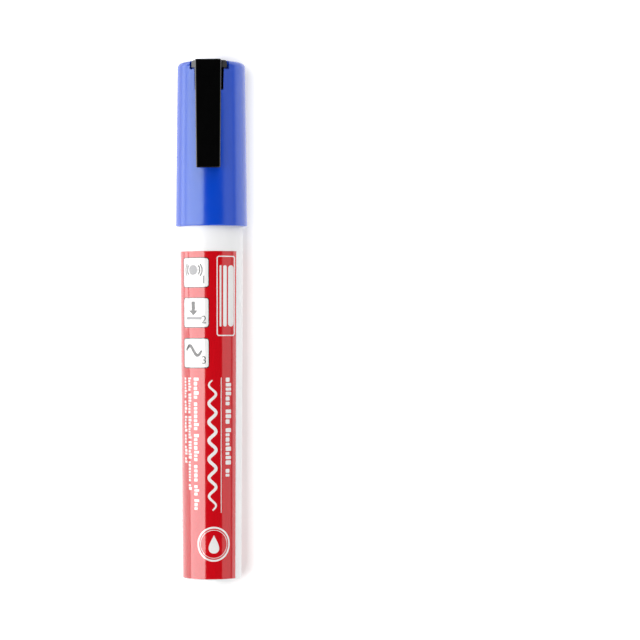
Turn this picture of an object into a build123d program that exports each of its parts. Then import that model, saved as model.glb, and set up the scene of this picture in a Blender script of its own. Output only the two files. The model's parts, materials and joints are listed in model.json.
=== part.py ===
"""A pump-action chalk marker with its cap on.

The marker lies along +Y with the centre of its flat rear face at the origin and its clip on top, towards +Z.
Round pieces are outlines of (radius, distance from the rear face) turned about the Y axis. Sizes are in mm.
"""
import math
import os

from build123d import *

# Clearances that the pieces share
press_gap = 0.03        # round a piece that is pushed home and stays there
running_gap = 0.06      # round a piece that slides in a bore
contact_gap = 0.05      # between moving pieces that meet end to end
cap_gap = 0.10          # between the barrel's mouth and the cap's skirt
glue_line = 0.02        # under the label
overrun = 1.0           # how far a cut runs past the surface

# Barrel: a tapered tube, closed at the rear
barrel_length = 101.0
barrel_mouth_radius = 8.56
barrel_taper = 0.61     # mouth radius less rear radius
barrel_rear_wall = 1.4
barrel_base = 1.8
barrel_edge_radius = 0.3
mouth_wall = 1.05       # wall round the collar's spigot
mouth_chamfer = 0.4
seat_step = 0.4         # ledge that the valve rests on
base_groove_radius = 4.6
base_groove_width = 0.8
base_groove_depth = 0.3

# Gate marks: shallow dimples where the moulds of the barrel and the cap were filled
gate_radius = 1.1
gate_depth = 0.25

# Label: a film wrapped round the barrel, with a bare strip where its ends don't meet
label_margin = 0.05     # from the barrel's rounded rear edge
label_cap_gap = 6.85    # bare strip between the label and the cap's rim
label_thickness = 0.10
label_wrap = 310        # degrees
label_seam = 55         # degrees from straight up to the label's right-hand edge

# Nib: a felt rod with a slanted chisel end
nib_radius = 3.0
nib_length = 26.5
nib_reach = 8.0         # in front of the holder
nib_chisel_length = 5.6
nib_edge = 1.3          # thickness of the writing edge
nib_slant = 1.8         # how far one end of the edge stands behind the other
nib_travel = 2.0

# Nib holder: the sleeve that guides the nib
holder_length = 6.3     # in front of the collar
holder_wall = 1.55
holder_edge_radius = 0.7
holder_spigot_wall = 1.05
holder_spigot_length = 7.0

# Front collar: closes the barrel's mouth and carries the nib holder
collar_spigot_length = 7.0
collar_spigot_wall = 1.7
collar_flange_thickness = 2.2
collar_flange_inset = 0.3
collar_flange_round = 0.5
collar_roof = 1.6       # from the ink room to the flange's front
collar_neck_wall = 1.25
collar_neck_length = 7.5
collar_neck_chamfer = 0.4
bead_height = 0.2       # ridge on the spigot that snaps into the barrel's mouth
bead_width = 1.6
bead_flat = 0.8

# Valve: body, plunger, seal, spring and retainer
stem_radius = 1.3
stem_tip_round = 0.4
stem_flow_gap = 0.4     # the ink's way round the plunger
stem_head_thickness = 2.0
stem_tail_radius = 1.0
seal_overlap = 0.9      # how far the seal covers the seat
seal_thickness = 1.0
head_margin = 0.7       # how far the plunger's head stands out past the seal
head_flow_gap = 1.2     # between the head and the cup
valve_flange_thickness = 2.0
valve_cup_wall = 0.9
valve_cup_length = 14.0
retainer_plug_length = 1.6
retainer_rim = 1.0
retainer_hole_radius = 0.75
retainer_hole_count = 6
spring_gap = 0.7        # between the plunger's tail and the spring
spring_wire = 0.5
spring_turns = 7

# Mixing ball, loose in the barrel
ball_radius = 4.0
ball_gap = 0.1

# Cap: a tapered shell over the front end
cap_overlap = 5.5       # how far the cap reaches over the barrel
cap_skirt_wall = 1.07
cap_draft = 0.5         # rim radius less top radius
cap_wall = 1.25
cap_top_thickness = 1.6
cap_edge_radius = 1.5
cap_rim_round = 0.3
notch_wall = 0.6        # wall left behind the clip's notch
ledge_drop = 0.5        # from the clip's slot to the inner cap's ledge

# Inner cap: the liner that seals round the collar's neck
nib_room = 5.3          # from the nib's tip to the liner's top
liner_wall = 0.7
liner_top = 1.2
liner_flange_thickness = 1.5
liner_lip_gap = 1.0     # from the collar's flange to the liner's lip
liner_lip_chamfer = 0.3
fin_count = 6
fin_thickness = 0.9
fin_length = 12.0

# Clip: a flat arm on two ears, with a root that snaps through the cap's wall
clip_length = 29.1
clip_top_width = 7.05
clip_tip_width = 6.5
clip_thickness = 1.8
clip_gap = 1.3          # between the arm and the top of the cap's side
clip_corner_radius = 0.4
clip_edge_round = 0.3
clip_core_width = 4.2   # hollow in the arm's underside
clip_core_depth = 1.0
clip_core_margin = 1.2  # from the pip and from the root
ear_span = 9.55
ear_height = 1.9
ear_thickness = 0.75
ear_inset = 0.05        # below the cap's surface
ear_round = 0.6
ear_back_gap = 0.15     # behind the ears
notch_gap = 0.5         # beside the ears and below them and the root
root_top_width = 6.8
root_rear_width = 6.5
root_length = 7.5
slot_gap = 0.62         # beside the root
barb_span = 8.8
barb_height = 1.5
barb_thickness = 0.7
barb_gap = 0.35         # behind the cap's wall
pip_radius = 1.2
pip_round = 0.5
pip_inset = 0.4         # from the arm's lower end

# Radii that follow from the nib outwards
nib_bore_radius = nib_radius + running_gap
holder_radius = nib_bore_radius + holder_wall
holder_spigot_radius = nib_bore_radius + holder_spigot_wall
collar_bore_radius = holder_spigot_radius + press_gap
collar_neck_radius = collar_bore_radius + collar_neck_wall
liner_bore_radius = collar_neck_radius + running_gap
liner_radius = liner_bore_radius + liner_wall

# Radii that follow from the barrel's mouth inwards
barrel_rear_radius = barrel_mouth_radius - barrel_taper
mouth_bore_radius = barrel_mouth_radius - mouth_wall
collar_spigot_radius = mouth_bore_radius - press_gap
collar_room_radius = collar_spigot_radius - collar_spigot_wall
collar_flange_radius = barrel_mouth_radius - collar_flange_inset
room_front_radius = mouth_bore_radius - seat_step
room_rear_radius = barrel_rear_radius - barrel_rear_wall

# Radii that follow from the plunger outwards
valve_hole_radius = stem_radius + stem_flow_gap
seal_radius = valve_hole_radius + seal_overlap
stem_head_radius = seal_radius + head_margin
valve_cup_bore = stem_head_radius + head_flow_gap
valve_cup_radius = valve_cup_bore + valve_cup_wall
retainer_plug_radius = valve_cup_bore - press_gap
spring_radius = stem_tail_radius + spring_gap + spring_wire / 2
retainer_hole_circle = (spring_radius + spring_wire / 2 + retainer_plug_radius) / 2

# Radii that follow from the barrel's mouth outwards
cap_skirt_bore = barrel_mouth_radius + cap_gap
cap_rim_radius = cap_skirt_bore + cap_skirt_wall
cap_top_radius = cap_rim_radius - cap_draft
cap_bore_radius = cap_top_radius - cap_wall
ear_outer_radius = cap_top_radius - ear_inset
ear_inner_radius = ear_outer_radius - ear_thickness
notch_radius = ear_inner_radius - ear_back_gap
cap_room_radius = notch_radius - notch_wall

# Places along the axis, from the rear face
valve_front = barrel_length - collar_spigot_length
valve_seat = valve_front - valve_flange_thickness
valve_rear = valve_seat - valve_cup_length
retainer_rear = valve_rear - retainer_rim
retainer_front = valve_rear + retainer_plug_length
bead_place = valve_front + collar_spigot_length / 2
flange_front = barrel_length + collar_flange_thickness
collar_room_end = flange_front - collar_roof
collar_front = flange_front + collar_neck_length
holder_rear = collar_front - holder_spigot_length
holder_front = collar_front + holder_length
nib_tip = holder_front + nib_reach
nib_rear = nib_tip - nib_length
stem_tip = nib_rear - contact_gap
seal_front = valve_seat - contact_gap
head_front = seal_front - seal_thickness
head_rear = head_front - stem_head_thickness
tail_end = (retainer_rear + valve_rear) / 2
ball_rear_place = barrel_base + ball_gap + ball_radius
label_start = barrel_edge_radius + label_margin
cap_rim = barrel_length - cap_overlap
label_end = cap_rim - label_cap_gap
ledge = nib_tip + nib_room + liner_top
slot_rear = ledge + ledge_drop
root_rear = slot_rear + notch_gap
cap_top = root_rear + root_length
cap_length = cap_top - cap_rim
skirt_end = flange_front + contact_gap
ears_rear = cap_top - ear_height
cap_room_end = cap_top - cap_top_thickness
liner_lip = flange_front + liner_lip_gap
clip_tip = cap_top - clip_length
arm_under = cap_top_radius + clip_gap


def barrel_radius(place):
    """Outer radius of the tapered barrel at a distance from its rear face."""
    return barrel_rear_radius + barrel_taper * place / barrel_length


def cap_radius(place):
    """Outer radius of the tapered cap at a distance from the barrel's rear face."""
    return cap_top_radius + cap_draft * (cap_top - place) / cap_length


def root_width(place):
    """Width of the clip's tapered root at a distance from the barrel's rear face."""
    return root_top_width + (root_rear_width - root_top_width) * (cap_top - place) / root_length


def turn(*outline):
    """Turn a closed outline of (radius, place) points about the marker's axis."""
    with BuildSketch() as section:
        with BuildLine():
            Polyline(*outline, close=True)
        make_face()
    revolve(section.sketch, axis=Axis.Y)


def bead(radius):
    """Outline of the snap ridge on a round surface of that radius, from rear to front."""
    crest = radius + bead_height
    return [
        (radius, bead_place - bead_width / 2),
        (crest, bead_place - bead_flat / 2),
        (crest, bead_place + bead_flat / 2),
        (radius, bead_place + bead_width / 2),
    ]


def across(place):
    """Plane square to the axis, where a negative extrusion goes towards the cap."""
    return Plane.XZ.offset(-place)


def sector(place, inner, outer, span):
    """The upper part of a ring square to the axis, cut to a span across."""
    with BuildSketch(across(place)) as ring:
        Circle(outer)
        Circle(inner, mode=Mode.SUBTRACT)
        with Locations((0, cap_rim_radius)):
            Rectangle(span, 2 * cap_rim_radius, mode=Mode.INTERSECT)
    return ring.sketch


def taper(height, rear, rear_width, front, front_width):
    """A symmetric four-sided outline at a height above the axis, seen from above."""
    with BuildSketch(Plane.XY.offset(height)) as outline:
        with BuildLine():
            Polyline(
                (-rear_width / 2, rear),
                (rear_width / 2, rear),
                (front_width / 2, front),
                (-front_width / 2, front),
                close=True,
            )
        make_face()
    return outline.sketch


# Barrel
with BuildPart() as barrel:
    turn(
        (0, gate_depth),
        (gate_radius, gate_depth),
        (gate_radius, 0),
        (barrel_rear_radius, 0),
        (barrel_mouth_radius, barrel_length),
        (mouth_bore_radius, barrel_length),
        *reversed(bead(mouth_bore_radius)),
        (mouth_bore_radius, valve_seat),
        (room_front_radius, valve_seat),
        (room_rear_radius, barrel_base),
        (0, barrel_base),
    )
    outer_edges = barrel.edges().filter_by(GeomType.CIRCLE)
    fillet(outer_edges.group_by(Axis.Y)[0].sort_by(SortBy.RADIUS)[-1], barrel_edge_radius)
    chamfer(outer_edges.group_by(Axis.Y)[-1].sort_by(SortBy.RADIUS)[-1], mouth_chamfer)
    with BuildSketch(across(0)):
        Circle(base_groove_radius + base_groove_width / 2)
        Circle(base_groove_radius - base_groove_width / 2, mode=Mode.SUBTRACT)
    extrude(amount=-base_groove_depth, mode=Mode.SUBTRACT)

# Label
with BuildPart() as label:
    with BuildSketch(Plane.XY.rotated((0, label_seam - 90, 0))):
        with BuildLine():
            Polyline(
                (barrel_radius(label_start) + glue_line, label_start),
                (barrel_radius(label_end) + glue_line, label_end),
                (barrel_radius(label_end) + glue_line + label_thickness, label_end),
                (barrel_radius(label_start) + glue_line + label_thickness, label_start),
                close=True,
            )
        make_face()
    revolve(axis=Axis.Y, revolution_arc=-label_wrap)

# Front collar
with BuildPart() as front_collar:
    turn(
        (collar_room_radius, valve_front),
        (collar_spigot_radius, valve_front),
        *bead(collar_spigot_radius),
        (collar_spigot_radius, barrel_length),
        (collar_flange_radius, barrel_length),
        (collar_flange_radius, flange_front),
        (collar_neck_radius, flange_front),
        (collar_neck_radius, collar_front),
        (collar_bore_radius, collar_front),
        (collar_bore_radius, collar_room_end),
        (collar_room_radius, collar_room_end),
    )
    rims = front_collar.edges().filter_by(GeomType.CIRCLE)
    flange_rims = rims.filter_by_position(Axis.Y, flange_front, flange_front)
    fillet(flange_rims.sort_by(SortBy.RADIUS)[-1], collar_flange_round)
    chamfer(rims.group_by(Axis.Y)[-1].sort_by(SortBy.RADIUS)[-1], collar_neck_chamfer)

# Nib holder
with BuildPart() as nib_holder:
    turn(
        (nib_bore_radius, holder_rear),
        (holder_spigot_radius, holder_rear),
        (holder_spigot_radius, collar_front),
        (holder_radius, collar_front),
        (holder_radius, holder_front),
        (nib_bore_radius, holder_front),
    )
    front_rims = nib_holder.edges().group_by(Axis.Y)[-1]
    fillet(front_rims.sort_by(SortBy.RADIUS)[-1], holder_edge_radius)

# Nib: two flats make the chisel, and a slanted cut sets its writing edge askew
chisel_rear = nib_tip - nib_chisel_length
with BuildPart() as nib:
    with BuildSketch(across(nib_rear)):
        Circle(nib_radius)
    extrude(amount=-nib_length)
    with BuildSketch(Plane.YZ):
        with BuildLine():
            Polyline(
                (chisel_rear, nib_radius),
                (nib_tip, nib_edge / 2),
                (nib_tip + overrun, nib_edge / 2),
                (nib_tip + overrun, nib_radius + overrun),
                (chisel_rear, nib_radius + overrun),
                close=True,
            )
        make_face()
        mirror(about=Plane.XZ)
    extrude(amount=nib_radius + overrun, both=True, mode=Mode.SUBTRACT)
    with BuildSketch(Plane.XY):
        with BuildLine():
            Polyline(
                (-nib_radius, nib_tip),
                (nib_radius, nib_tip - nib_slant),
                (nib_radius + overrun, nib_tip - nib_slant),
                (nib_radius + overrun, nib_tip + overrun),
                (-nib_radius, nib_tip + overrun),
                close=True,
            )
        make_face()
    extrude(amount=nib_radius, both=True, mode=Mode.SUBTRACT)

# Valve body: a flange with the seat's hole, and a cup behind it
with BuildPart() as valve_body:
    turn(
        (valve_hole_radius, valve_seat),
        (valve_hole_radius, valve_front),
        (collar_spigot_radius, valve_front),
        (collar_spigot_radius, valve_seat),
        (valve_cup_radius, valve_seat),
        (valve_cup_radius, valve_rear),
        (valve_cup_bore, valve_rear),
        (valve_cup_bore, valve_seat),
    )

# Valve stem: a rod to the nib, a head behind the seat and a tail that guides the spring
with BuildPart() as valve_stem:
    turn(
        (0, tail_end),
        (stem_tail_radius, tail_end),
        (stem_tail_radius, head_rear),
        (stem_head_radius, head_rear),
        (stem_head_radius, head_front),
        (stem_radius, head_front),
        (stem_radius, stem_tip),
        (0, stem_tip),
    )
    fillet(valve_stem.edges().group_by(Axis.Y)[-1], stem_tip_round)

# Valve seal
with BuildPart() as valve_seal:
    turn(
        (stem_radius + press_gap, head_front),
        (seal_radius, head_front),
        (seal_radius, seal_front),
        (stem_radius + press_gap, seal_front),
    )

# Valve retainer: a pierced plug in the cup's rear end
with BuildPart() as valve_retainer:
    turn(
        (stem_tail_radius + running_gap, retainer_rear),
        (valve_cup_radius, retainer_rear),
        (valve_cup_radius, valve_rear),
        (retainer_plug_radius, valve_rear),
        (retainer_plug_radius, retainer_front),
        (stem_tail_radius + running_gap, retainer_front),
    )
    with BuildSketch(across(retainer_rear - overrun)):
        with PolarLocations(retainer_hole_circle, retainer_hole_count):
            Circle(retainer_hole_radius)
    extrude(amount=retainer_rear - retainer_front - 2 * overrun, mode=Mode.SUBTRACT)

# Valve spring: a helix of quarter turns, each made of two arcs that meet smoothly
quarters = 4 * spring_turns
spring_rear = retainer_front + contact_gap + spring_wire / 2
spring_front = head_rear - contact_gap - spring_wire / 2
spring_pitch = (spring_front - spring_rear) / spring_turns


def helix_point(quarter):
    """Point on the spring's centre line after a number of quarter turns."""
    angle = quarter * math.pi / 2
    climb = spring_rear + spring_pitch * quarter / 4
    return Vector(spring_radius * math.cos(angle), climb, spring_radius * math.sin(angle))


def helix_tangent(quarter):
    """Direction of the spring's centre line after a number of quarter turns."""
    angle = quarter * math.pi / 2
    around = spring_radius * math.tau
    return Vector(-around * math.sin(angle), spring_pitch, around * math.cos(angle)).normalized()


def biarc_joint(start, start_way, end, end_way):
    """Point where two arcs with those ends and end directions meet smoothly."""
    span = end - start
    ways = start_way + end_way
    bend = 2 * (1 - start_way.dot(end_way))
    reach = (math.sqrt(span.dot(ways) ** 2 + bend * span.dot(span)) - span.dot(ways)) / bend
    return (start + end + (start_way - end_way) * reach) * 0.5


with BuildPart() as valve_spring:
    with BuildLine() as coil:
        for quarter in range(quarters):
            start, end = helix_point(quarter), helix_point(quarter + 1)
            start_way, end_way = helix_tangent(quarter), helix_tangent(quarter + 1)
            joint = biarc_joint(start, start_way, end, end_way)
            first_arc = TangentArc(start, joint, tangent=start_way)
            TangentArc(joint, end, tangent=first_arc % 1)
    with BuildSketch(Plane(origin=helix_point(0), z_dir=helix_tangent(0))):
        Circle(spring_wire / 2)
    sweep(path=coil.line)
turn_gap = (helix_point(4) - helix_point(0)).length - spring_wire
print(f"least gap between the spring's turns: {turn_gap:.2f} mm")

# Mixing ball, at the rear end of the ink room and on its lowest line
room_slope = (room_front_radius - room_rear_radius) / (valve_seat - barrel_base)
room_radius_there = room_rear_radius + room_slope * (ball_rear_place - barrel_base)
ball_drop = room_radius_there - (ball_radius + ball_gap) * math.hypot(1, room_slope)
with BuildPart() as mixing_ball:
    with Locations((0, ball_rear_place, -ball_drop)):
        Sphere(ball_radius)
ball_front_place = tail_end - nib_travel - ball_gap - ball_radius
print(f"ball runs {ball_front_place - ball_rear_place:.2f} mm, dropping {room_slope:.6f} mm for each mm")

# Cap shell, with the notch for the clip's ears and the slot for its root
with BuildPart() as cap_shell:
    turn(
        (0, cap_top - gate_depth),
        (gate_radius, cap_top - gate_depth),
        (gate_radius, cap_top),
        (cap_top_radius, cap_top),
        (cap_rim_radius, cap_rim),
        (cap_skirt_bore, cap_rim),
        (cap_skirt_bore, skirt_end),
        (cap_bore_radius, skirt_end),
        (cap_bore_radius, ledge),
        (cap_room_radius, ledge),
        (cap_room_radius, cap_room_end),
        (0, cap_room_end),
    )
    rounds = cap_shell.edges().filter_by(GeomType.CIRCLE)
    fillet(rounds.group_by(Axis.Y)[-1].sort_by(SortBy.RADIUS)[-1], cap_edge_radius)
    fillet(rounds.group_by(Axis.Y)[0].sort_by(SortBy.RADIUS)[-1], cap_rim_round)
    notch = sector(ears_rear - notch_gap, notch_radius, cap_rim_radius + overrun, ear_span + 2 * notch_gap)
    extrude(notch, amount=-(ear_height + notch_gap + overrun), mode=Mode.SUBTRACT)
    slot = taper(
        cap_room_radius / 2,
        slot_rear,
        root_width(slot_rear) + 2 * slot_gap,
        cap_room_end,
        root_width(cap_room_end) + 2 * slot_gap,
    )
    extrude(slot, amount=cap_rim_radius, mode=Mode.SUBTRACT)

# Inner cap: a cup whose flange seats on the cap's ledge, steadied by fins
with BuildPart() as inner_cap:
    turn(
        (0, ledge),
        (cap_bore_radius - press_gap, ledge),
        (cap_bore_radius - press_gap, ledge - liner_flange_thickness),
        (liner_radius, ledge - liner_flange_thickness),
        (liner_radius, liner_lip),
        (liner_bore_radius, liner_lip),
        (liner_bore_radius, ledge - liner_top),
        (0, ledge - liner_top),
    )
    chamfer(inner_cap.edges().group_by(Axis.Y)[0].sort_by(SortBy.RADIUS)[0], liner_lip_chamfer)
    fin_reach = cap_bore_radius - press_gap - liner_bore_radius - liner_wall / 2
    fin_middle = liner_bore_radius + liner_wall / 2 + fin_reach / 2
    with BuildSketch(across(ledge - liner_flange_thickness)):
        with PolarLocations(fin_middle, fin_count):
            Rectangle(fin_reach, fin_thickness)
        Circle(cap_bore_radius - press_gap, mode=Mode.INTERSECT)
    extrude(amount=fin_length)

# Clip: hollow arm, root, ears in the notch, barbs behind the cap's wall, and the pip that bears on the cap
barb_front = cap_room_end - notch_gap
barb_outer = cap_room_radius - barb_gap
barb_inner = barb_outer - barb_thickness
pip_place = clip_tip + pip_inset + pip_radius
pip_height = arm_under - cap_radius(pip_place) - contact_gap
core_rear = pip_place + pip_radius + clip_core_margin
core_front = root_rear - clip_core_margin
with BuildPart() as clip:
    extrude(taper(arm_under, clip_tip, clip_tip_width, cap_top, clip_top_width), amount=clip_thickness)
    fillet(clip.edges().filter_by(Axis.Z), clip_corner_radius)
    fillet(clip.faces().sort_by(Axis.Z)[-1].edges(), clip_edge_round)
    core = taper(arm_under, core_rear, clip_core_width, core_front, clip_core_width)
    extrude(core, amount=clip_core_depth, mode=Mode.SUBTRACT)
    extrude(
        taper(barb_inner, root_rear, root_width(root_rear), barb_front, root_width(barb_front)),
        amount=arm_under - barb_inner,
    )
    extrude(
        taper(ear_inner_radius, barb_front, root_width(barb_front), cap_top, root_width(cap_top)),
        amount=arm_under - ear_inner_radius,
    )
    extrude(sector(barb_front, barb_inner, barb_outer, barb_span), amount=barb_height)
    extrude(sector(ears_rear, ear_inner_radius, ear_outer_radius, ear_span), amount=-ear_height)
    ear_corners = clip.edges().filter_by(Axis.Z).group_by(Axis.Y)[-1].group_by(Axis.X)
    fillet(ear_corners[0] + ear_corners[-1], ear_round)
    with BuildSketch(Plane.XY.offset(arm_under)):
        with Locations((0, pip_place)):
            Circle(pip_radius)
    extrude(amount=-pip_height)
    fillet(clip.faces().filter_by(Axis.Z).sort_by(Axis.Y)[0].edges(), pip_round)

pieces = {
    "barrel": barrel,
    "label": label,
    "front_collar": front_collar,
    "nib_holder": nib_holder,
    "nib": nib,
    "valve_body": valve_body,
    "valve_stem": valve_stem,
    "valve_seal": valve_seal,
    "valve_spring": valve_spring,
    "valve_retainer": valve_retainer,
    "mixing_ball": mixing_ball,
    "cap_shell": cap_shell,
    "inner_cap": inner_cap,
    "clip": clip,
}
os.makedirs("parts", exist_ok=True)
for name, piece in pieces.items():
    piece.part.label = name
    export_step(piece.part, f"parts/{name}.step")
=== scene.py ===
"""Looks of a pump-action chalk marker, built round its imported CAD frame.

The frame is the CAD's: +Y runs along the marker from its rear face and +Z up through the clip. Lengths are
in mm and turned into metres by MM.
"""
import json
import math
import random

import bmesh
import bpy
from mathutils import Matrix, Vector

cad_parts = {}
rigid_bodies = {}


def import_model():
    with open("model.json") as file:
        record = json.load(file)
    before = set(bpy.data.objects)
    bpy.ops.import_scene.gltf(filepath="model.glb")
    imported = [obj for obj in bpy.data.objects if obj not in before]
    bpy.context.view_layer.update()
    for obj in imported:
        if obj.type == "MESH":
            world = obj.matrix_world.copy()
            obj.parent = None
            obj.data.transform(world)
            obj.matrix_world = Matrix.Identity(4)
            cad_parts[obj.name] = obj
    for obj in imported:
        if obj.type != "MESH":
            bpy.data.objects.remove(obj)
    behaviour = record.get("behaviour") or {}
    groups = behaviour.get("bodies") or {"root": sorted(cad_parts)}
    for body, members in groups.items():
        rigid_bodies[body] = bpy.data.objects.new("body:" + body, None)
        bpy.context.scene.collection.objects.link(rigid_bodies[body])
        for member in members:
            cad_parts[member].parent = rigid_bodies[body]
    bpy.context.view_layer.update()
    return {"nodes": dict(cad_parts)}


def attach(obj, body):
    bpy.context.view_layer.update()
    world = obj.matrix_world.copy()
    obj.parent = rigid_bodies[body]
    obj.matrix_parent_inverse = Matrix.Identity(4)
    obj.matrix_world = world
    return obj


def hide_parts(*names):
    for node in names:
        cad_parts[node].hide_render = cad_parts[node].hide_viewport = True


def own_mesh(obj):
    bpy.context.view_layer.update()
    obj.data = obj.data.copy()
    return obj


MM = 0.001

# The marker's outside, as the CAD has it
BARREL_LENGTH = 101.0
BARREL_REAR_RADIUS = 7.95
BARREL_TAPER = 0.61
FILM_RISE = 0.12            # from the barrel to the label's outer face
LABEL_REAR = 0.35
LABEL_MEAN_RADIUS = 8.34
CAP_RIM = 95.5
CAP_RIM_RADIUS = 9.73

# Layer of ink on the label
INK_LIFT = 0.012            # above the film
INK_SINK = 0.03             # into the film
INK_STEP = 0.4              # least width of the facets that bend round the film
INK_MERGE = 0.0005
FACING_LIMIT = 0.7          # faces that look outward less than this are the layer's edge

# Steps in the loops that are drawn
CORNER_STEPS = 5
BLOCK_CORNER_STEPS = 2
DISC_STEPS = 72
WAVE_STEPS = 24
ARC_STEPS = 14
DROP_POINT = 1.6            # how pointed a drop is
DROP_SWELL_SHARE = 0.66     # brings a drop to its width
TAPER_POWER = 4             # how late a stroke narrows towards its ends
LINE_ROUND_SHARE = 0.25

# Three panels with numbers and motifs
PANEL_PLACES = (82.9, 72.1, 61.2)
PANEL_ACROSS = -4.2
PANEL_WIDTH = 7.9
PANEL_HEIGHT = 7.7
PANEL_ROUND = 0.7
PANEL_LINE = 0.22
NUMBER_ACROSS = -1.5
NUMBER_RISE = -2.0
NUMBER_SIZE = 3.0
MOTIF_ACROSS = -4.6
MOTIF_RISE = 0.7
MOTIF_WIDTH = 5.0
MOTIF_LINE = 0.38
BALL_RADIUS = 1.35
SHAKE_RADII = (2.0, 2.65)
SHAKE_SPAN = 75
ARROW_HEAD = 2.8
ARROW_STEM = 1.1
ARROW_LENGTH = 3.8
ARROW_DROP = 1.5
BASE_LINE = 0.7
SCRIBBLE_HEIGHT = 2.6
SCRIBBLE_COUNT = 1
SCRIBBLE_LINE = 0.85
SCRIBBLE_TAPER_SHARE = 0.5

# Outlined box with strokes of three widths: its middle and size, and each stroke's place and width
SWATCH_BOX = (4.65, 76.6, 5.5, 21.6)
SWATCH_LINE = 0.3
SWATCHES = ((2.95, 0.5), (4.2, 1.0), (6.05, 1.8))
SWATCH_LENGTH = 16.5
ROUND_END_SHARE = 0.49

# Rule, wavy stroke, rows of blocks (place, height, rear end) and a ringed drop
PRINT_FRONT = 54.6
PRINT_REAR = 18.2
RULE_ACROSS = 3.15
RULE_WIDTH = 0.2
WAVE_ACROSS = 0.75
WAVE_LENGTH = 35.0
WAVE_HEIGHT = 1.9
WAVE_COUNT = 7
WAVE_LINE = 0.9
WAVE_TAPER_SHARE = 0.6
FRONT_ROWS = ((5.3, 1.7, 27.5), (-3.8, 1.5, 18.2), (-6.0, 1.1, 24.0), (-7.7, 1.1, 31.0))
FRONT_SEED = 11
EMBLEM_PLACE = (1.1, 9.8)
EMBLEM_RADII = (4.7, 4.2, 3.85, 3.7)
EMBLEM_DROP = (3.2, 5.0)

# Small print on the underside: first row's place, number of rows, front and rear ends
BACK_FIELDS = ((-11.6, 8, 84.0, 44.0), (-11.6, 8, 36.0, 8.0), (-27.4, 5, 84.0, 8.0))
BACK_HEIGHT = 1.0
BACK_SPACING = 1.75
BACK_RAGGED = 8.0
BACK_SEED = 5

# Blocks that stand for small print, as shares of the row's height
BLOCK_GROUP = (3, 8)
BLOCK_WIDTH_SHARES = (0.42, 0.72)
BLOCK_HEIGHT_SHARES = (0.7, 0.7, 1.0)
BLOCK_GAP_SHARE = 0.18
BLOCK_ROUND_SHARE = 0.2
GROUP_GAP_SHARE = 0.5

# The camera of the photograph
VIEW_DISTANCE = 683.4       # from the marker's axis
VIEW_WIDTH = 174.17         # what the frame takes in at that distance
VIEW_SIDE = 29.45           # the frame's middle is this far right of the axis
VIEW_ALONG = 70.02
VIEW_ROLL = math.radians(1.8)   # how far the marker is turned on its axis
VIEW_TURN = math.radians(-0.1)  # how far the picture is turned in its own plane
SENSOR = 36.0
NEAR_CLIP = 10.0

# Soft boxes: how far from straight up they begin and end, in degrees, and how bright they are
BOX_DISTANCE = 500.0
BOX_LENGTH = 360.0
LEFT_BOX = (24, 88)
LEFT_BRIGHTNESS = 4.0
RIGHT_BOX = (41, 79)
RIGHT_BRIGHTNESS = 0.78
ROOM_BRIGHTNESS = 0.02

# Fill lamps beyond the marker's two ends, which light its right side and aren't mirrored by its round sides
FILL_SIDE = 330.0
FILL_ALONG = 620.0
FILL_HEIGHT = 430.0
FILL_SPAN = 700.0
FILL_BRIGHTNESS = 2.54

# Lamp face up on the floor at the left, standing in for a white card: how far from the axis it begins and
# ends, and how bright it is
CARD_SPAN = (46.0, 420.0)
CARD_RISE = 0.5
CARD_BRIGHTNESS = 1.8

# White paper under the marker, with a painted glow for the camera that rises to 1 away from the marker:
# painted light that whitens the floor over the shadow, dipping as painted shade in a band right of the
# marker
FLOOR_WHITE = 0.62
FLOOR_HALF_SPAN = 2500.0
FLOOR_CELLS = 8
# Painted shade: the glow at its lowest, in the band right of the marker where the shadow falls
FLOOR_SHADE_BAND_GLOW = 0.30
FLOOR_FADE = (5.8, 10.8)    # distances between which the glow rises
FLOOR_SHIFT = 3.0           # from the marker's axis to the line where the distances start; to the right, where the shadow falls
FLOOR_HALF_LENGTH = 66.0    # of that line

# The white backdrop round the floor ends between these heights above the horizon, in degrees
BACKDROP_END = (1, 6)

# Part of a noise's range that is used, and its detail where no other is given
NOISE_LOW = 0.3
NOISE_HIGH = 0.7
NOISE_DETAIL = 3.0

# Moulded plastic: streaks of flow, patches of gloss and fine grain. Drifts are shares of the colour
FLOW_SIZE = 9.0
FLOW_STRETCH = 3.0
FLOW_DRIFT = 0.06
PATCH_SIZE = 2.2
PATCH_DETAIL = 5.0
PATCH_ROUGH_SHARES = (0.88, 1.14)
GRAIN_SIZE = 0.22
GRAIN_DEPTH = 0.006
GRAIN_DETAIL = 2.0
PLASTIC_GLOSS = 0.5

# Printed film: uneven ink, haze and waviness of the laminate, and its gloss
SPECK_SIZE = 0.35
FILM_DETAIL = 4.0
INK_DRIFT = 0.05
HAZE_SIZE = 3.5
HAZE_ROUGHNESS = (0.10, 0.15)
RIPPLE_SIZE = 2.6
RIPPLE_DETAIL = 1.0
RIPPLE_DEPTH = 0.004
FILM_GLOSS = 0.80
LAMINATE = 0.60
LAMINATE_ROUGHNESS = 0.06

# Felt: fibres along the nib, with painted shade in the pores between them, where the relief dips
FIBRE_SIZE = 0.12
FIBRE_STRETCH = 9.0
FIBRE_DETAIL = 4.0
FIBRE_DEPTH = 0.05
FIBRE_AND_PORE_SHADE_SHARES = (0.80, 1.05)
FIBRE_ROUGHNESS = (0.95, 0.80)
FELT_SHEEN = 0.15

# Steel: marks of drawing or polishing
MARK_SHADE_SHARES = (0.9, 1.08)
MARK_ROUGH_SHARES = (0.7, 1.4)
MARK_DEPTH = 0.003
WIRE_MARK = 0.08
BALL_MARK = 0.5

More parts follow.
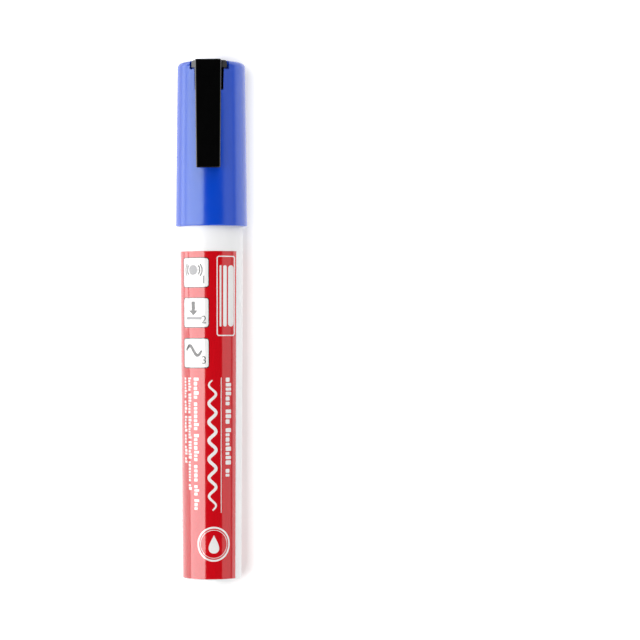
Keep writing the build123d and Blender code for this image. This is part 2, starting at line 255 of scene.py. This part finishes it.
# Roughness of each piece, and what sets its finish apart
BARREL_ROUGH = 0.34
BARREL_GRAIN_DEPTH = 0.004
PALE_DRIFT = 0.02
COLLAR_ROUGH = 0.36
COLLAR_GLOSS = 0.35
HOLDER_ROUGH = 0.45
VALVE_ROUGH = 0.40
VALVE_DRIFT = 0.03
RUBBER_ROUGH = 0.75
RUBBER_GRAIN = (0.1, 0.01)
WIRE_ROUGH = 0.18
BALL_ROUGH = 0.08
CAP_ROUGH = 0.235
CAP_DRIFT = 0.03
CAP_GLOSS = 0.88
LINER_ROUGH = 0.48
CLIP_ROUGH = 0.13
CLIP_GRAIN = (0.16, 0.003)
CLIP_GLOSS = 0.7

# Sockets of a Mix node that mixes colours
MIX_COLOURS = (6, 7)
MIX_RESULT = 2

# Colours, linear
WHITE = (1.0, 1.0, 1.0)
RED = (0.60, 0.002, 0.008)
PRINT_WHITE = (0.86, 0.85, 0.84)
PRINT_BLACK = (0.016, 0.015, 0.016)
PRINT_GREY = (0.24, 0.24, 0.25)
BLUE = (0.0005, 0.058, 0.57)
CAP_SHINE = (0.86, 1.0, 0.88)   # cooler than the lamps
BARREL_WHITE = (0.885, 0.885, 0.89)
CLIP_BLACK = (0.0003, 0.0003, 0.0003)
COLLAR_BLACK = (0.014, 0.014, 0.016)
HOLDER_GREY = (0.33, 0.33, 0.34)
LINER_WHITE = (0.78, 0.78, 0.77)
NATURAL = (0.68, 0.69, 0.67)
RUBBER = (0.028, 0.028, 0.029)
FELT = (0.80, 0.80, 0.78)
STEEL = (0.62, 0.62, 0.64)

for thing in list(bpy.data.objects):
    bpy.data.objects.remove(thing)
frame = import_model()
nodes = frame["nodes"]
scene = bpy.context.scene
scene.view_settings.view_transform = "Standard"


# Materials

def new_material(name):
    """A node material, its node tree and its shader."""
    made = bpy.data.materials.new(name)
    made.use_nodes = True
    return made, made.node_tree, made.node_tree.nodes["Principled BSDF"]


def object_space(tree):
    """Coordinates fixed to the piece, in metres."""
    return tree.nodes.new("ShaderNodeTexCoord").outputs["Object"]


def noise(tree, vector, size, detail=NOISE_DETAIL, stretch=None):
    """Noise whose features are about size mm across, drawn out along Y by stretch."""
    if stretch:
        mapping = tree.nodes.new("ShaderNodeMapping")
        mapping.inputs["Scale"].default_value = (1, 1 / stretch, 1)
        tree.links.new(vector, mapping.inputs["Vector"])
        vector = mapping.outputs["Vector"]
    node = tree.nodes.new("ShaderNodeTexNoise")
    node.inputs["Scale"].default_value = 1 / (size * MM)
    node.inputs["Detail"].default_value = detail
    tree.links.new(vector, node.inputs["Vector"])
    return node.outputs["Fac"]


def between(tree, factor, low, high, start=NOISE_LOW, end=NOISE_HIGH):
    """A number that runs from low to high as factor runs from start to end."""
    node = tree.nodes.new("ShaderNodeMapRange")
    node.inputs["From Min"].default_value = start
    node.inputs["From Max"].default_value = end
    node.inputs["To Min"].default_value = low
    node.inputs["To Max"].default_value = high
    tree.links.new(factor, node.inputs["Value"])
    return node.outputs["Result"]


def blend(tree, factor, first, second):
    """A colour that runs from first to second; either may be a colour or a socket."""
    node = tree.nodes.new("ShaderNodeMix")
    node.data_type = "RGBA"
    tree.links.new(factor, node.inputs["Factor"])
    for index, colour in zip(MIX_COLOURS, (first, second)):
        if isinstance(colour, bpy.types.NodeSocket):
            tree.links.new(colour, node.inputs[index])
        else:
            node.inputs[index].default_value = (*colour, 1)
    return node.outputs[MIX_RESULT]


def bump(tree, shader, height, depth):
    """Relief of that depth in mm."""
    node = tree.nodes.new("ShaderNodeBump")
    node.inputs["Distance"].default_value = depth * MM
    node.inputs["Strength"].default_value = 1.0
    tree.links.new(height, node.inputs["Height"])
    tree.links.new(node.outputs["Normal"], shader.inputs["Normal"])


def shaded(colour, factor):
    """A lighter or darker colour."""
    return tuple(min(1.0, c * factor) for c in colour)


def moulded(
    name, colour, rough, drift=FLOW_DRIFT, grain=GRAIN_SIZE, depth=GRAIN_DEPTH,
    gloss=PLASTIC_GLOSS, shine=WHITE,
):
    """Moulded plastic: fine spark-eroded grain, a slow drift of shade from the flow, uneven gloss."""
    made, tree, shader = new_material(name)
    place = object_space(tree)
    flow = between(tree, noise(tree, place, FLOW_SIZE, stretch=FLOW_STRETCH), 0, 1)
    colours = blend(tree, flow, shaded(colour, 1 - drift), shaded(colour, 1 + drift))
    tree.links.new(colours, shader.inputs["Base Color"])
    low, high = (rough * share for share in PATCH_ROUGH_SHARES)
    patches = between(tree, noise(tree, place, PATCH_SIZE, PATCH_DETAIL), low, high)
    tree.links.new(patches, shader.inputs["Roughness"])
    bump(tree, shader, noise(tree, place, grain, GRAIN_DETAIL), depth)
    shader.inputs["Specular IOR Level"].default_value = gloss
    shader.inputs["Specular Tint"].default_value = (*shine, 1)
    return made


def printed(name, colour, drift=INK_DRIFT):
    """Glossy printed film: slightly uneven ink under a clear laminate that isn't perfectly flat."""
    made, tree, shader = new_material(name)
    place = object_space(tree)
    ink = between(tree, noise(tree, place, SPECK_SIZE, FILM_DETAIL), 0, 1)
    colours = blend(tree, ink, shaded(colour, 1 - drift), shaded(colour, 1 + drift))
    tree.links.new(colours, shader.inputs["Base Color"])
    haze = between(tree, noise(tree, place, HAZE_SIZE, FILM_DETAIL), *HAZE_ROUGHNESS)
    tree.links.new(haze, shader.inputs["Roughness"])
    bump(tree, shader, noise(tree, place, RIPPLE_SIZE, RIPPLE_DETAIL), RIPPLE_DEPTH)
    shader.inputs["Specular IOR Level"].default_value = FILM_GLOSS
    shader.inputs["Coat Weight"].default_value = LAMINATE
    shader.inputs["Coat Roughness"].default_value = LAMINATE_ROUGHNESS
    return made


def felt(name, colour):
    """Bonded felt: fibres along the nib, open pores between them, no gloss; the colour is darker where the
    relief dips, partly the fibres' tone and partly painted shade in the pores.
    """
    made, tree, shader = new_material(name)
    place = object_space(tree)
    fibres = noise(tree, place, FIBRE_SIZE, FIBRE_DETAIL, FIBRE_STRETCH)
    # Painted shade: the darker colour goes with the dips of the relief, in the pores between the fibres, on
    # top of the fibres' own tone
    dark, light = (shaded(colour, shade) for shade in FIBRE_AND_PORE_SHADE_SHARES)
    tree.links.new(blend(tree, between(tree, fibres, 0, 1), dark, light), shader.inputs["Base Color"])
    tree.links.new(between(tree, fibres, *FIBRE_ROUGHNESS), shader.inputs["Roughness"])
    bump(tree, shader, fibres, FIBRE_DEPTH)
    shader.inputs["Sheen Weight"].default_value = FELT_SHEEN
    return made


def metal(name, colour, rough, size):
    """Bare steel: fine drawing or polishing marks."""
    made, tree, shader = new_material(name)
    place = object_space(tree)
    marks = noise(tree, place, size)
    dark, light = (shaded(colour, shade) for shade in MARK_SHADE_SHARES)
    tree.links.new(blend(tree, between(tree, marks, 0, 1), dark, light), shader.inputs["Base Color"])
    low, high = (rough * share for share in MARK_ROUGH_SHARES)
    tree.links.new(between(tree, marks, low, high), shader.inputs["Roughness"])
    bump(tree, shader, marks, MARK_DEPTH)
    shader.inputs["Metallic"].default_value = 1.0
    return made


finishes = {
    "barrel": moulded("barrel_white", BARREL_WHITE, BARREL_ROUGH, PALE_DRIFT, depth=BARREL_GRAIN_DEPTH),
    "label": printed("label_red", RED),
    "front_collar": moulded("collar_black", COLLAR_BLACK, COLLAR_ROUGH, gloss=COLLAR_GLOSS),
    "nib_holder": moulded("holder_grey", HOLDER_GREY, HOLDER_ROUGH),
    "nib": felt("nib_felt", FELT),
    "valve_body": moulded("valve_natural", NATURAL, VALVE_ROUGH, VALVE_DRIFT),
    "valve_seal": moulded("seal_rubber", RUBBER, RUBBER_ROUGH, FLOW_DRIFT, *RUBBER_GRAIN),
    "valve_spring": metal("spring_steel", STEEL, WIRE_ROUGH, WIRE_MARK),
    "mixing_ball": metal("ball_steel", STEEL, BALL_ROUGH, BALL_MARK),
    "cap_shell": moulded("cap_blue", BLUE, CAP_ROUGH, CAP_DRIFT, gloss=CAP_GLOSS, shine=CAP_SHINE),
    "inner_cap": moulded("liner_white", LINER_WHITE, LINER_ROUGH, PALE_DRIFT),
    "clip": moulded("clip_black", CLIP_BLACK, CLIP_ROUGH, FLOW_DRIFT, *CLIP_GRAIN, gloss=CLIP_GLOSS),
}
finishes["valve_stem"] = finishes["valve_body"]
finishes["valve_retainer"] = finishes["valve_body"]
for name, finish in finishes.items():
    nodes[name].data.materials[0] = finish


# Spring

def pressed_spring():
    """A copy of the CAD's spring on the marker's body, in the place of the CAD's rigid one, which is
    hidden.
    """
    rigid = nodes["valve_spring"]
    coil = bpy.data.objects.new("valve_coil", rigid.data.copy())
    scene.collection.objects.link(coil)
    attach(coil, "marker")
    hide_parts("valve_spring")
    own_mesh(coil)


pressed_spring()


# Print on the label, drawn flat: across is mm round the film from straight up, along is mm from the rear

def rounded_box(across, along, width, height, radius, steps=CORNER_STEPS):
    """Loop of a box with rounded corners about its middle."""
    points = []
    for corner, (way_x, way_y) in enumerate(((1, 1), (-1, 1), (-1, -1), (1, -1))):
        for step in range(steps + 1):
            angle = math.pi / 2 * (corner + step / steps)
            points.append((
                across + way_x * (width / 2 - radius) + radius * math.cos(angle),
                along + way_y * (height / 2 - radius) + radius * math.sin(angle),
            ))
    return points


def disc(across, along, radius):
    """Loop of a circle."""
    turns = [math.tau * step / DISC_STEPS for step in range(DISC_STEPS)]
    return [(across + radius * math.cos(turn), along + radius * math.sin(turn)) for turn in turns]


def drop(across, along, width, height):
    """Loop of a drop with its point towards the cap."""
    points = []
    for step in range(DISC_STEPS):
        turn = math.tau * step / DISC_STEPS
        swell = math.sin(turn) * math.sin(turn / 2) ** DROP_POINT
        points.append((across + width * DROP_SWELL_SHARE * swell, along + height / 2 * math.cos(turn)))
    return points


def ribbon(line, width, taper=0.0):
    """Loop round a line of points, drawn with a stroke of that width whose ends narrow by a share of it."""
    left, right = [], []
    last = len(line) - 1
    for i, (x, y) in enumerate(line):
        (x0, y0), (x1, y1) = line[max(i - 1, 0)], line[min(i + 1, last)]
        way = math.hypot(x1 - x0, y1 - y0)
        half = width / 2 * (1 - taper * abs(2 * i / last - 1) ** TAPER_POWER)
        shift_x, shift_y = -half * (y1 - y0) / way, half * (x1 - x0) / way
        left.append((x + shift_x, y + shift_y))
        right.append((x - shift_x, y - shift_y))
    return left + right[::-1]


def wave(length, height, count):
    """Points of a wavy line about the origin: (distance along it, swing)."""
    points = []
    for step in range(WAVE_STEPS * count + 1):
        share = step / (WAVE_STEPS * count)
        points.append(((share - 0.5) * length, height / 2 * math.sin(math.tau * count * share)))
    return points


def arc(across, along, radius, middle, span):
    """Points of an arc about a middle direction, in degrees."""
    points = []
    for step in range(ARC_STEPS + 1):
        angle = math.radians(middle + span * (step / ARC_STEPS - 0.5))
        points.append((across + radius * math.cos(angle), along + radius * math.sin(angle)))
    return points


def block_row(dice, across, height, front, rear):
    """Loops of a row of plain blocks in groups, from front to rear, in the place of small print."""
    loops = []
    place = front
    left_in_group = dice.randint(*BLOCK_GROUP)
    while True:
        width = height * dice.uniform(*BLOCK_WIDTH_SHARES)
        if place - width < rear:
            return loops
        tall = height * dice.choice(BLOCK_HEIGHT_SHARES)
        middle = across - (height - tall) / 2
        radius = width * BLOCK_ROUND_SHARE
        loops.append(rounded_box(middle, place - width / 2, tall, width, radius, BLOCK_CORNER_STEPS))
        left_in_group -= 1
        place -= width + height * BLOCK_GAP_SHARE
        if left_in_group == 0:
            left_in_group = dice.randint(*BLOCK_GROUP)
            place -= height * GROUP_GAP_SHARE


def filled(loops):
    """A flat mesh of closed loops, where a loop inside another is a hole."""
    curve = bpy.data.curves.new("loops", "CURVE")
    curve.dimensions = "2D"
    curve.fill_mode = "FRONT"
    for loop in loops:
        spline = curve.splines.new("POLY")
        spline.points.add(len(loop) - 1)
        for point, (x, y) in zip(spline.points, loop):
            point.co = (x, y, 0, 1)
        spline.use_cyclic_u = True
    return flattened(curve)


def numeral(text, across, along, size):
    """A flat mesh of a plain number about its middle."""
    curve = bpy.data.curves.new("numeral", "FONT")
    curve.body = text
    curve.size = size
    curve.align_x = "CENTER"
    curve.align_y = "CENTER"
    mesh = flattened(curve)
    mesh.transform(Matrix.Translation((across, along, 0)))
    return mesh


def flattened(curve):
    """The mesh of a filled curve, which is then removed."""
    holder = bpy.data.objects.new(curve.name, curve)
    scene.collection.objects.link(holder)
    graph = bpy.context.evaluated_depsgraph_get()
    mesh = bpy.data.meshes.new_from_object(holder.evaluated_get(graph))
    bpy.data.objects.remove(holder)
    bpy.data.curves.remove(curve)
    return mesh


def printed_piece(name, flats, lift, finish):
    """A thin closed layer of ink: flat shapes bent round the label, from in the film to lift above it."""
    shape = bmesh.new()
    for flat in flats:
        shape.from_mesh(flat)
        bpy.data.meshes.remove(flat)
    bmesh.ops.remove_doubles(shape, verts=shape.verts, dist=INK_MERGE)
    places = [vert.co.x for vert in shape.verts]
    cuts = math.floor((max(places) - min(places)) / INK_STEP)
    for cut in range(1, cuts + 1):
        everything = shape.verts[:] + shape.edges[:] + shape.faces[:]
        place = (min(places) + cut * INK_STEP, 0, 0)
        bmesh.ops.bisect_plane(shape, geom=everything, plane_co=place, plane_no=(1, 0, 0), dist=INK_MERGE)
    bmesh.ops.remove_doubles(shape, verts=shape.verts, dist=INK_MERGE)
    grown = bmesh.ops.extrude_face_region(shape, geom=shape.faces[:], use_keep_orig=True)
    raised = {part for part in grown["geom"] if isinstance(part, bmesh.types.BMVert)}
    for vert in shape.verts:
        across, along = vert.co.x, vert.co.y
        film = BARREL_REAR_RADIUS + BARREL_TAPER * along / BARREL_LENGTH + FILM_RISE
        radius = film + (lift if vert in raised else -INK_SINK)
        angle = across / LABEL_MEAN_RADIUS
        vert.co = Vector((radius * math.sin(angle), along, radius * math.cos(angle))) * MM
    bmesh.ops.recalc_face_normals(shape, faces=shape.faces[:])
    mesh = bpy.data.meshes.new(name)
    shape.to_mesh(mesh)
    shape.free()
    follow_film(mesh)
    mesh.materials.append(finish)
    piece = bpy.data.objects.new(name, mesh)
    scene.collection.objects.link(piece)
    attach(piece, "marker")


def follow_film(mesh):
    """Shade the ink's outer and inner faces as round as the film under them."""
    normals = [None] * len(mesh.loops)
    for face in mesh.polygons:
        face.use_smooth = True
        for corner in face.loop_indices:
            point = mesh.vertices[mesh.loops[corner].vertex_index].co
            outward = Vector((point.x, 0, point.z)).normalized()
            facing = face.normal.dot(outward)
            round_face = abs(facing) > FACING_LIMIT
            normals[corner] = outward * math.copysign(1, facing) if round_face else face.normal.copy()
    mesh.normals_split_custom_set(normals)


def panel_motifs():
    """Black and grey loops of the panels: outlines, a ball shaken, an arrow on a line, a wavy stroke."""
    black, grey = [], []
    for place in PANEL_PLACES:
        for rim in (0, PANEL_LINE):
            width, height = PANEL_WIDTH + 2 * rim, PANEL_HEIGHT + 2 * rim
            black.append(rounded_box(PANEL_ACROSS, place, width, height, PANEL_ROUND + rim))
    shaken, pressed, drawn = ((MOTIF_ACROSS, place + MOTIF_RISE) for place in PANEL_PLACES)
    grey.append(disc(*shaken, BALL_RADIUS))
    for middle in (0, 180):
        for radius in SHAKE_RADII:
            black.append(ribbon(arc(*shaken, radius, middle, SHAKE_SPAN), MOTIF_LINE))
    tip = pressed[1] - ARROW_DROP
    black.append([
        (pressed[0], tip),
        (pressed[0] + ARROW_HEAD / 2, tip + ARROW_HEAD / 2),
        (pressed[0] + ARROW_STEM / 2, tip + ARROW_HEAD / 2),
        (pressed[0] + ARROW_STEM / 2, tip + ARROW_LENGTH),
        (pressed[0] - ARROW_STEM / 2, tip + ARROW_LENGTH),
        (pressed[0] - ARROW_STEM / 2, tip + ARROW_HEAD / 2),
        (pressed[0] - ARROW_HEAD / 2, tip + ARROW_HEAD / 2),
    ])
    line_place = tip - BASE_LINE
    line_round = BASE_LINE * LINE_ROUND_SHARE
    grey.append(rounded_box(pressed[0], line_place, MOTIF_WIDTH, BASE_LINE, line_round))
    line = [(drawn[0] + x, drawn[1] + y) for x, y in wave(MOTIF_WIDTH, SCRIBBLE_HEIGHT, SCRIBBLE_COUNT)]
    black.append(ribbon(line, SCRIBBLE_LINE, SCRIBBLE_TAPER_SHARE))
    return black, grey


def front_print():
    """White loops on the label's upper side."""
    loops = []
    for place in PANEL_PLACES:
        loops.append(rounded_box(PANEL_ACROSS, place, PANEL_WIDTH, PANEL_HEIGHT, PANEL_ROUND))
    across, along, width, height = SWATCH_BOX
    loops.append(rounded_box(across, along, width, height, PANEL_ROUND))
    inner_width, inner_height = width - 2 * SWATCH_LINE, height - 2 * SWATCH_LINE
    loops.append(rounded_box(across, along, inner_width, inner_height, PANEL_ROUND - SWATCH_LINE))
    for place, stroke in SWATCHES:
        loops.append(rounded_box(place, along, stroke, SWATCH_LENGTH, stroke * ROUND_END_SHARE))
    rule_middle = (PRINT_FRONT + PRINT_REAR) / 2
    rule_length = PRINT_FRONT - PRINT_REAR
    rule_round = RULE_WIDTH * LINE_ROUND_SHARE
    loops.append(rounded_box(RULE_ACROSS, rule_middle, RULE_WIDTH, rule_length, rule_round))
    line = [(WAVE_ACROSS + y, rule_middle + x) for x, y in wave(WAVE_LENGTH, WAVE_HEIGHT, WAVE_COUNT)]
    loops.append(ribbon(line, WAVE_LINE, WAVE_TAPER_SHARE))
    for radius in EMBLEM_RADII:
        loops.append(disc(*EMBLEM_PLACE, radius))
    loops.append(drop(*EMBLEM_PLACE, *EMBLEM_DROP))
    dice = random.Random(FRONT_SEED)
    for across, height, rear in FRONT_ROWS:
        loops += block_row(dice, across, height, PRINT_FRONT, rear)
    return loops


def back_print():
    """White loops on the label's underside: fields of small print."""
    loops = []
    dice = random.Random(BACK_SEED)
    for first, count, front, rear in BACK_FIELDS:
        for row in range(count):
            ragged = dice.uniform(0, BACK_RAGGED)
            loops += block_row(dice, first - row * BACK_SPACING, BACK_HEIGHT, front, rear + ragged)
    return loops


white_ink = printed("print_white", PRINT_WHITE, PALE_DRIFT)
black_ink = printed("print_black", PRINT_BLACK)
grey_ink = printed("print_grey", PRINT_GREY)
black_loops, grey_loops = panel_motifs()
numbers = []
for number, place in enumerate(PANEL_PLACES, start=1):
    numbers.append(numeral(str(number), NUMBER_ACROSS, place + NUMBER_RISE, NUMBER_SIZE))
printed_piece("label_print_front", [filled(front_print())], INK_LIFT, white_ink)
printed_piece("label_print_back", [filled(back_print())], INK_LIFT, white_ink)
black_flats = [filled(black_loops), *numbers]
printed_piece("label_motifs_black", black_flats, 2 * INK_LIFT, black_ink)
printed_piece("label_motifs_grey", [filled(grey_loops)], 2 * INK_LIFT, grey_ink)


# Floor, room and camera

def seen_glow(tree, to_camera, to_mirrors, rest=0.0):
    """Strength of a white background: to the camera, to glossy and clear pieces, and to the rest."""
    path = tree.nodes.new("ShaderNodeLightPath")
    total = rest
    for ray, amount in (
        ("Is Camera Ray", to_camera),
        ("Is Glossy Ray", to_mirrors),
        ("Is Transmission Ray", to_mirrors),
    ):
        node = tree.nodes.new("ShaderNodeMath")
        node.operation = "MULTIPLY_ADD"
        tree.links.new(path.outputs[ray], node.inputs[0])
        for socket, value in ((node.inputs[1], amount), (node.inputs[2], total)):
            if isinstance(value, bpy.types.NodeSocket):
                tree.links.new(value, socket)
            else:
                socket.default_value = value
        total = node.outputs["Value"]
    return total


def floor_material():
    """White paper with a painted glow: white all over, and dipping as painted shade right of the marker,
    which keeps the shadow there.
    """
    made, tree, shader = new_material("floor_paper")
    tree.nodes.remove(shader)
    paper = tree.nodes.new("ShaderNodeBsdfDiffuse")
    paper.inputs["Color"].default_value = (FLOOR_WHITE, FLOOR_WHITE, FLOOR_WHITE, 1)
    glow = tree.nodes.new("ShaderNodeEmission")
    vector = object_space(tree)
    for operation, operand in (
        ("SUBTRACT", (FLOOR_SHIFT * MM, 0, 0)),
        ("ABSOLUTE", None),
        ("SUBTRACT", (0, FLOOR_HALF_LENGTH * MM, 0)),
        ("MAXIMUM", (0, 0, 0)),
    ):
        step = tree.nodes.new("ShaderNodeVectorMath")
        step.operation = operation
        tree.links.new(vector, step.inputs[0])
        if operand:
            step.inputs[1].default_value = operand
        vector = step.outputs["Vector"]
    away = tree.nodes.new("ShaderNodeVectorMath")
    away.operation = "LENGTH"
    tree.links.new(vector, away.inputs[0])
    start, end = (distance * MM for distance in FLOOR_FADE)
    # Painted shade: the glow is lowest in a band right of the marker, where its shadow falls, and paints
    # the floor white beyond it
    level = between(tree, away.outputs["Value"], FLOOR_SHADE_BAND_GLOW, 1.0, start, end)
    total = seen_glow(tree, level, 1.0)
    tree.links.new(total, glow.inputs["Strength"])
    both = tree.nodes.new("ShaderNodeAddShader")
    tree.links.new(paper.outputs["BSDF"], both.inputs[0])
    tree.links.new(glow.outputs["Emission"], both.inputs[1])
    tree.links.new(both.outputs["Shader"], tree.nodes["Material Output"].inputs["Surface"])
    return made


def lay_floor():
    """A wide sheet that touches the cap's rim and the label's rear end."""
    rear_radius = BARREL_REAR_RADIUS + FILM_RISE
    lean = math.atan2(CAP_RIM_RADIUS - rear_radius, CAP_RIM - LABEL_REAR)
    mesh = bpy.data.meshes.new("floor")
    shape = bmesh.new()
    bmesh.ops.create_grid(shape, x_segments=FLOOR_CELLS, y_segments=FLOOR_CELLS, size=FLOOR_HALF_SPAN * MM)
    shape.to_mesh(mesh)
    shape.free()
    floor = bpy.data.objects.new("floor", mesh)
    scene.collection.objects.link(floor)
    floor.rotation_euler = (-lean, 0, 0)
    middle = VIEW_ALONG - LABEL_REAR
    floor.location = (0, VIEW_ALONG * MM, -(rear_radius + middle * math.tan(lean)) * MM)
    mesh.materials.append(floor_material())


def light_room():
    """A dim room with a white backdrop that is seen and mirrored but lights nothing."""
    world = bpy.data.worlds.new("room")
    world.use_nodes = True
    scene.world = world
    tree = world.node_tree
    background = tree.nodes["Background"]
    direction = tree.nodes.new("ShaderNodeSeparateXYZ")
    tree.links.new(tree.nodes.new("ShaderNodeTexCoord").outputs["Generated"], direction.inputs["Vector"])
    low, high = (math.sin(math.radians(height)) for height in BACKDROP_END)
    backdrop = between(tree, direction.outputs["Z"], 1.0, 0.0, low, high)
    background.inputs["Color"].default_value = (1, 1, 1, 1)
    tree.links.new(seen_glow(tree, 1.0, backdrop, ROOM_BRIGHTNESS), background.inputs["Strength"])


def add_lamp(name, width, length, brightness, place, turn):
    """An area lamp that looks as bright as that, whatever its size."""
    lamp = bpy.data.lights.new(name, "AREA")
    lamp.shape = "RECTANGLE"
    lamp.size = width * MM
    lamp.size_y = length * MM
    lamp.energy = brightness * math.pi * lamp.size * lamp.size_y
    box = bpy.data.objects.new(name, lamp)
    scene.collection.objects.link(box)
    box.location = (place + Vector((0, VIEW_ALONG, 0))) * MM
    box.rotation_euler = turn


def soft_box(name, span, brightness, side):
    """A soft box beside the marker that fills a span of directions, in degrees from straight up."""
    start, end = (math.radians(a) for a in span)
    middle = side * (start + end) / 2 + VIEW_ROLL
    width = 2 * BOX_DISTANCE * math.tan((end - start) / 2)
    place = Vector((math.sin(middle), 0, math.cos(middle))) * BOX_DISTANCE
    add_lamp(name, width, BOX_LENGTH, brightness, place, (0, middle, 0))


def fill_lamp(name, end):
    """A soft box beyond the cap (end 1) or the rear end (end -1), aimed at the marker's middle."""
    place = Vector((FILL_SIDE, end * FILL_ALONG, FILL_HEIGHT))
    add_lamp(name, FILL_SPAN, FILL_SPAN, FILL_BRIGHTNESS, place, place.to_track_quat("Z", "Y").to_euler())


def floor_card(name):
    """An area lamp face up on the floor at the left, standing in for a white card."""
    near, far = CARD_SPAN
    place = Vector((-(near + far) / 2, 0, CARD_RISE - CAP_RIM_RADIUS))
    add_lamp(name, far - near, BOX_LENGTH, CARD_BRIGHTNESS, place, (math.pi, 0, 0))


def set_camera():
    """Above the marker, square to the table, with the marker left of the middle."""
    lens = bpy.data.cameras.new("camera")
    lens.sensor_width = SENSOR
    lens.lens = SENSOR * VIEW_DISTANCE / VIEW_WIDTH
    lens.clip_start = NEAR_CLIP * MM
    camera = bpy.data.objects.new("camera", lens)
    scene.collection.objects.link(camera)
    sine, cosine = math.sin(VIEW_ROLL), math.cos(VIEW_ROLL)
    camera.location = (
        (VIEW_SIDE * cosine + VIEW_DISTANCE * sine) * MM,
        VIEW_ALONG * MM,
        (VIEW_DISTANCE * cosine - VIEW_SIDE * sine) * MM,
    )
    camera.rotation_euler = (0, VIEW_ROLL, VIEW_TURN)
    scene.camera = camera


lay_floor()
light_room()
soft_box("soft_box_left", LEFT_BOX, LEFT_BRIGHTNESS, -1)
soft_box("soft_box_right", RIGHT_BOX, RIGHT_BRIGHTNESS, 1)
fill_lamp("fill_front", 1)
fill_lamp("fill_rear", -1)
floor_card("card_left")
set_camera()
